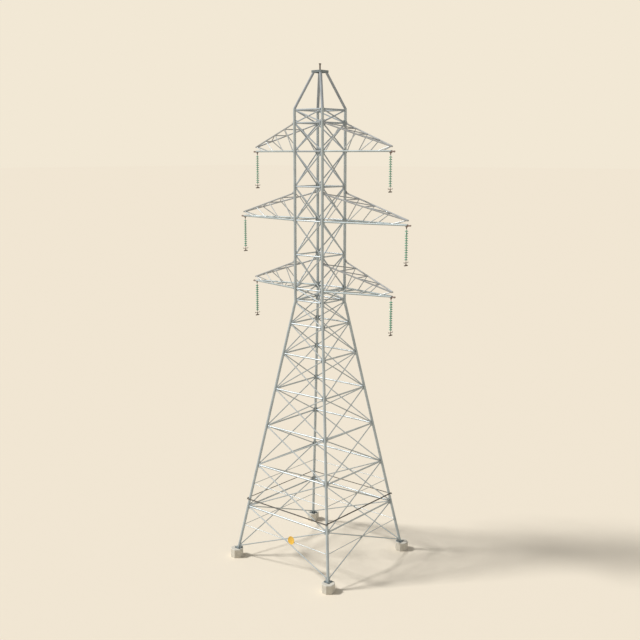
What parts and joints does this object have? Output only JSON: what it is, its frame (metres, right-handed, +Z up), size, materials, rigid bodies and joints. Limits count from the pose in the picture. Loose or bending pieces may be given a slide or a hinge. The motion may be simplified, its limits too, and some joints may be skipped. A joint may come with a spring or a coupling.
{
  "type": "lattice transmission pylon",
  "caption": "Double-circuit steel lattice transmission tower with three cross-arms a side, hanging glass insulator strings and concrete footings.",
  "frame": {"origin": "on the ground at the centre of the four footings", "axes": "+Z up, +X along the right-hand arms, Y along the line"},
  "size_m": [16.74, 10.58, 38.866],
  "materials": {
    "galvanised_steel": "weathered hot-dip galvanised",
    "dark_steel": "dark weathered steel",
    "guard_steel": "dark weathered steel",
    "fitting_steel": "brown weathered forged steel",
    "insulator_glass": "green toughened glass",
    "concrete": "smooth cast concrete",
    "sign_yellow": "matt yellow paint, bare"
  },
  "bodies": {
    "tower": {"anti_climb_guard": "guard_steel", "arm_tip_plates": "dark_steel", "base_plates": "dark_steel", "body_lattice_back": "galvanised_steel", "body_lattice_front": "galvanised_steel", "body_lattice_left": "galvanised_steel", "body_lattice_right": "galvanised_steel", "body_leg_back_left": "galvanised_steel", "body_leg_back_right": "galvanised_steel", "body_leg_front_left": "galvanised_steel", "body_leg_front_right": "galvanised_steel", "cage_lattice_back": "galvanised_steel", "cage_lattice_front": "galvanised_steel", "cage_lattice_left": "galvanised_steel", "cage_lattice_right": "galvanised_steel", "cage_leg_back_left": "galvanised_steel", "cage_leg_back_right": "galvanised_steel", "cage_leg_front_left": "galvanised_steel", "cage_leg_front_right": "galvanised_steel", "earth_wire_post": "fitting_steel", "footings": "concrete", "lower_arm_lower_frame_left": "galvanised_steel", "lower_arm_lower_frame_right": "galvanised_steel", "lower_arm_struts": "galvanised_steel", "lower_arm_upper_frame_left": "galvanised_steel", "lower_arm_upper_frame_right": "galvanised_steel", "middle_arm_lower_frame_left": "galvanised_steel", "middle_arm_lower_frame_right": "galvanised_steel", "middle_arm_struts": "galvanised_steel", "middle_arm_upper_frame_left": "galvanised_steel", "middle_arm_upper_frame_right": "galvanised_steel", "peak_cap": "dark_steel", "peak_legs": "galvanised_steel", "sign_disc": "sign_yellow", "top_arm_lower_frame_left": "galvanised_steel", "top_arm_lower_frame_right": "galvanised_steel", "top_arm_struts": "galvanised_steel", "top_arm_upper_frame_left": "galvanised_steel", "top_arm_upper_frame_right": "galvanised_steel", "waist_bracing": "galvanised_steel"},
    "lower_right_string": {"lower_insulator_discs_right": "insulator_glass", "lower_string_fittings_right": "fitting_steel"},
    "lower_left_string": {"lower_insulator_discs_left": "insulator_glass", "lower_string_fittings_left": "fitting_steel"},
    "middle_right_string": {"middle_insulator_discs_right": "insulator_glass", "middle_string_fittings_right": "fitting_steel"},
    "middle_left_string": {"middle_insulator_discs_left": "insulator_glass", "middle_string_fittings_left": "fitting_steel"},
    "top_right_string": {"top_insulator_discs_right": "insulator_glass", "top_string_fittings_right": "fitting_steel"},
    "top_left_string": {"top_insulator_discs_left": "insulator_glass", "top_string_fittings_left": "fitting_steel"}
  },
  "joints": [
    {"name": "lower_right_string_swing", "type": "hinge", "parent": "tower", "child": "lower_right_string", "pos_m": [6.764, 0, 21.811], "axis": [0, 1, 0], "range_deg": [-60, 60]},
    {"name": "lower_left_string_swing", "type": "hinge", "parent": "tower", "child": "lower_left_string", "pos_m": [-6.764, 0, 21.811], "axis": [0, 1, 0], "range_deg": [-60, 60]},
    {"name": "middle_right_string_swing", "type": "hinge", "parent": "tower", "child": "middle_right_string", "pos_m": [8.02, 0, 27.08], "axis": [0, 1, 0], "range_deg": [-60, 60]},
    {"name": "middle_left_string_swing", "type": "hinge", "parent": "tower", "child": "middle_left_string", "pos_m": [-8.02, 0, 27.08], "axis": [0, 1, 0], "range_deg": [-60, 60]},
    {"name": "top_right_string_swing", "type": "hinge", "parent": "tower", "child": "top_right_string", "pos_m": [6.549, 0, 32.272], "axis": [0, 1, 0], "range_deg": [-60, 60]},
    {"name": "top_left_string_swing", "type": "hinge", "parent": "tower", "child": "top_left_string", "pos_m": [-6.549, 0, 32.272], "axis": [0, 1, 0], "range_deg": [-60, 60]}
  ]
}
